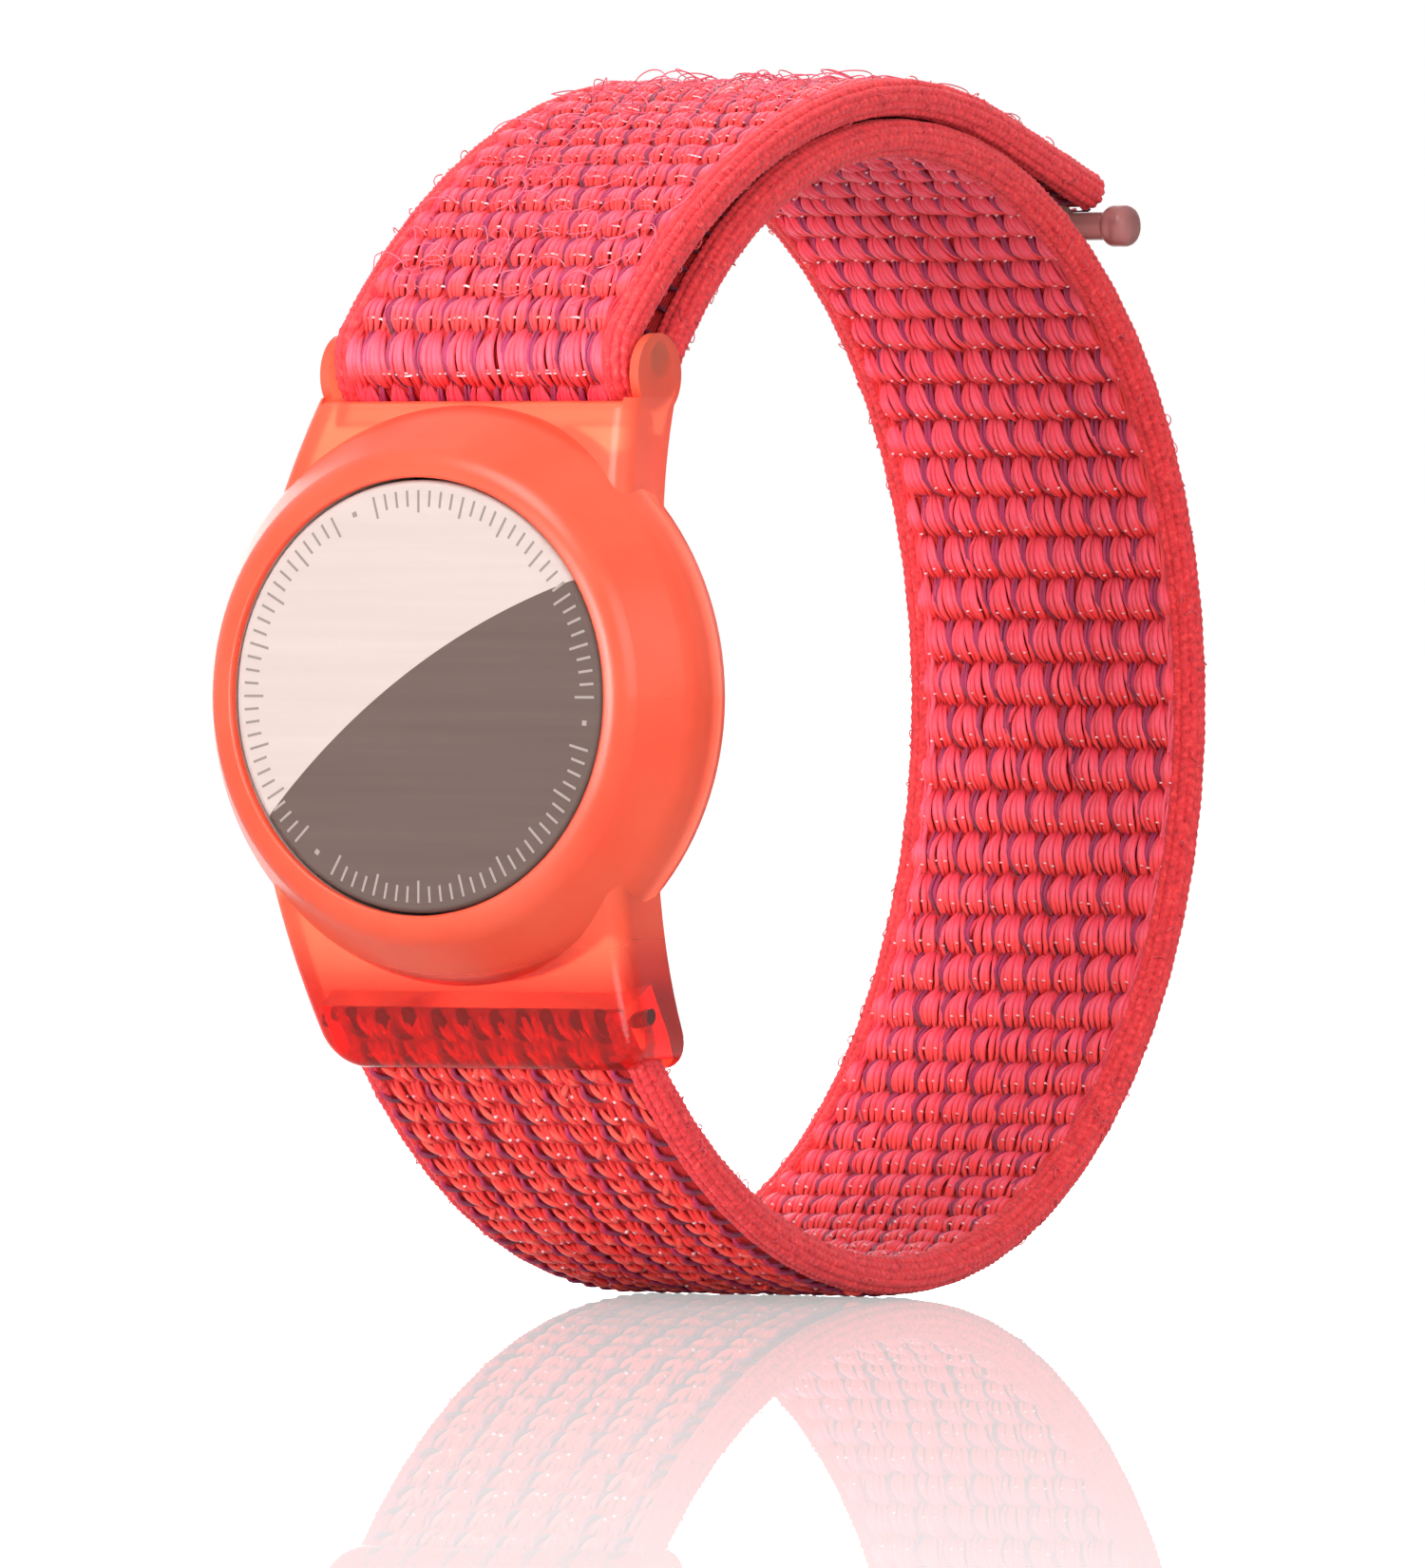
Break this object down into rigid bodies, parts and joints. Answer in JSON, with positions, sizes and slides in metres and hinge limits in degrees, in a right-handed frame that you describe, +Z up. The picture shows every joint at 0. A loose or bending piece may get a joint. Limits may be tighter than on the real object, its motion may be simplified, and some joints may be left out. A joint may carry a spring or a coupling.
{
  "type": "tracker tag wristband",
  "caption": "Woven hook-and-loop wristband with a frosted plastic case that holds a snap-in round tracker tag.",
  "frame": {"origin": "centre of the wrist opening, on the axis of the band's round inner face", "axes": "+X along the wrist, +Z up towards the fold of the band, -Y out through the tag's face"},
  "size_m": [0.0339, 0.0742, 0.072],
  "materials": {
    "frosted_coral_plastic": "frosted translucent",
    "pin_steel": "drawn",
    "woven_nylon": "woven",
    "sewing_thread": "twisted thread",
    "hook_tape": "hook tape",
    "frosted_pink_plastic": "frosted",
    "tag_white_plastic": "polished",
    "tag_steel": "satin, two tones",
    "tag_black_plastic": "moulded",
    "cell_steel": "nickel plated",
    "contact_gold": "gold plated",
    "board_green": "solder mask",
    "chip_black": "moulded",
    "magnet_steel": "nickel plated",
    "coil_copper": "enamelled copper"
  },
  "bodies": {
    "root": {"case_body": "frosted_coral_plastic", "lower_strap_pin": "pin_steel", "strap_band": "woven_nylon", "strap_anchor_loop": "woven_nylon", "anchor_stitching": "sewing_thread", "strap_fold": "woven_nylon"},
    "flap": {"strap_flap": "woven_nylon", "hook_patch": "hook_tape", "hook_patch_stitching": "sewing_thread", "strap_stop_bar": "frosted_pink_plastic"},
    "tag": {"tag_housing": "tag_white_plastic", "tag_antenna_tray": "tag_black_plastic", "tag_circuit_board": "board_green", "tag_chips": "chip_black", "tag_battery_contacts": "contact_gold", "tag_speaker_magnet": "magnet_steel", "tag_voice_coil": "coil_copper", "tag_coin_cell": "cell_steel"},
    "battery_cover": {"tag_battery_cover": "tag_steel", "tag_cover_insert": "tag_black_plastic"}
  },
  "joints": [
    {"name": "flap_hinge", "type": "hinge", "parent": "root", "child": "flap", "pos_m": [0, -0.02959, 0.02041], "axis": [1, 0, 0], "range_deg": [0, 75], "deforming": ["strap_fold"]},
    {"name": "tag_slide", "type": "slide", "parent": "root", "child": "tag", "axis": [0, 1, 0], "range_m": [0, 0.012]},
    {"name": "cover_twist", "type": "hinge", "parent": "tag", "child": "battery_cover", "pos_m": [0, -0.0391, 0.0008], "axis": [0, 1, 0], "range_deg": [0, 25]}
  ]
}
